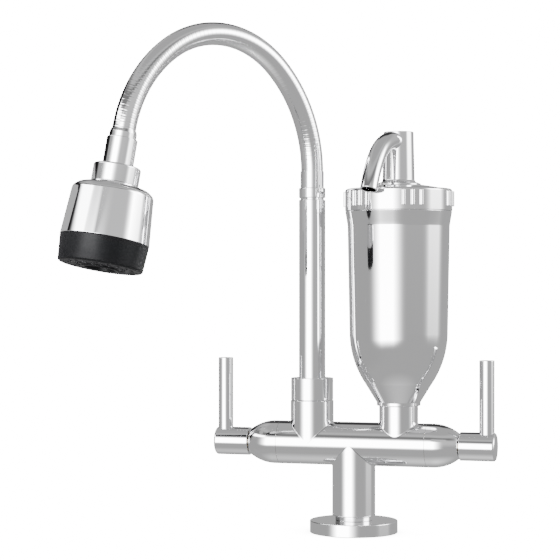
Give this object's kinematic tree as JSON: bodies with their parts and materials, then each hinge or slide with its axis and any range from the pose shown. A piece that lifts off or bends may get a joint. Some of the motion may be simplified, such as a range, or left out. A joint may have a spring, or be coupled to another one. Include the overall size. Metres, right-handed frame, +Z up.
{
  "type": "flexible kitchen faucet",
  "caption": "Kitchen tap with a two-handle valve body, a flexible wound spout with a ball-jointed spray head, and a chromed water filter with its own outlet nozzle.",
  "frame": {"origin": "stem axis on the deck, at the underside of the base flange", "axes": "+X along the valve tube towards the filter, -Y towards the user, +Z up"},
  "size_m": [0.269, 0.2128, 0.3609],
  "materials": {
    "chrome": "polished",
    "brass": "machined",
    "steel": "plain",
    "rubber": "matte",
    "ceramic": "lapped",
    "white_plastic": "moulded",
    "black_plastic": "satin",
    "carbon": "pressed carbon"
  },
  "bodies": {
    "root": {"base_flange": "chrome", "base_gasket": "rubber", "lock_ring": "chrome", "body_casting": "chrome", "bonnet_left": "chrome", "cartridge_left": "brass", "seat_seal_left": "rubber", "fixed_disc_left": "ceramic", "bonnet_right": "chrome", "cartridge_right": "brass", "seat_seal_right": "rubber", "fixed_disc_right": "ceramic", "spout_nut": "chrome", "swivel_washers": "white_plastic", "canister": "chrome", "canister_gasket": "rubber", "block_bottom_cap": "white_plastic", "carbon_block": "carbon", "block_top_cap": "white_plastic", "block_oring": "rubber"},
    "handle_left": {"handle_hub_left": "chrome", "lever_left": "chrome", "grub_screw_left": "steel", "spindle_left": "brass", "turning_disc_left": "ceramic", "spindle_orings_left": "rubber", "spindle_clip_left": "steel"},
    "handle_right": {"handle_hub_right": "chrome", "lever_right": "chrome", "grub_screw_right": "steel", "spindle_right": "brass", "turning_disc_right": "ceramic", "spindle_orings_right": "rubber", "spindle_clip_right": "steel"},
    "spout": {"spout_tail": "brass", "spout_orings": "rubber", "riser_tube": "chrome", "riser_ferrule": "chrome", "hose_winding": "chrome", "water_tube": "rubber"},
    "hose_end": {"head_ferrule": "chrome", "ball_sleeve": "chrome"},
    "head_swivel": {"ball_seal": "rubber"},
    "head": {"ball_nut": "chrome", "head_shell": "chrome", "jet_core": "white_plastic"},
    "selector": {"selector_ring": "black_plastic", "selector_oring": "rubber", "spray_plate": "black_plastic", "aerator_housing": "black_plastic", "aerator_mesh": "steel"},
    "lid": {"filter_lid": "chrome", "lid_oring": "rubber"},
    "ring_nut": {"cap_ring": "chrome"},
    "filter_spout": {"outlet_post": "chrome", "outlet_nozzle": "chrome", "post_oring": "rubber", "post_clip": "steel"}
  },
  "joints": [
    {"name": "left_handle_turn", "type": "hinge", "parent": "root", "child": "handle_left", "pos_m": [-0.09, 0, 0.0636], "axis": [1, 0, 0], "range_deg": [0, 90]},
    {"name": "right_handle_turn", "type": "hinge", "parent": "root", "child": "handle_right", "pos_m": [0.09, 0, 0.0636], "axis": [1, 0, 0], "range_deg": [0, 90]},
    {"name": "spout_swivel", "type": "hinge", "parent": "root", "child": "spout", "pos_m": [-0.031, 0, 0.1], "axis": [0, 0, 1], "continuous": true},
    {"name": "hose_bend", "type": "hinge", "parent": "spout", "child": "hose_end", "pos_m": [-0.07955, -0.06683, 0.35282], "axis": [-0.809, 0.5878, 0], "range_deg": [-10, 35], "deforming": ["hose_winding", "water_tube"]},
    {"name": "head_tilt", "type": "hinge", "parent": "hose_end", "child": "head_swivel", "pos_m": [-0.13029, -0.13667, 0.2494], "axis": [-0.809, 0.5878, 0], "range_deg": [-12, 12]},
    {"name": "head_spin", "type": "hinge", "parent": "head_swivel", "child": "head", "pos_m": [-0.13029, -0.13667, 0.2494], "axis": [-0.1182, -0.1627, -0.9796], "continuous": true},
    {"name": "jet_selector", "type": "hinge", "parent": "head", "child": "selector", "pos_m": [-0.13585, -0.14431, 0.20336], "axis": [-0.1182, -0.1627, -0.9796], "range_deg": [0, 60]},
    {"name": "lid_lift", "type": "slide", "parent": "root", "child": "lid", "axis": [0, 0, 1], "range_m": [0, 0.008]},
    {"name": "ring_turn", "type": "hinge", "parent": "lid", "child": "ring_nut", "pos_m": [0.033, 0, 0.238], "axis": [0, 0, 1], "range_deg": [0, 720]},
    {"name": "filter_spout_swivel", "type": "hinge", "parent": "lid", "child": "filter_spout", "pos_m": [0.033, 0, 0.26], "axis": [0, 0, 1], "range_deg": [-60, 255]}
  ],
  "couplings": [
    {"joint": "lid_lift", "follows": "ring_turn", "m_per_rad": 0.00063662}
  ]
}
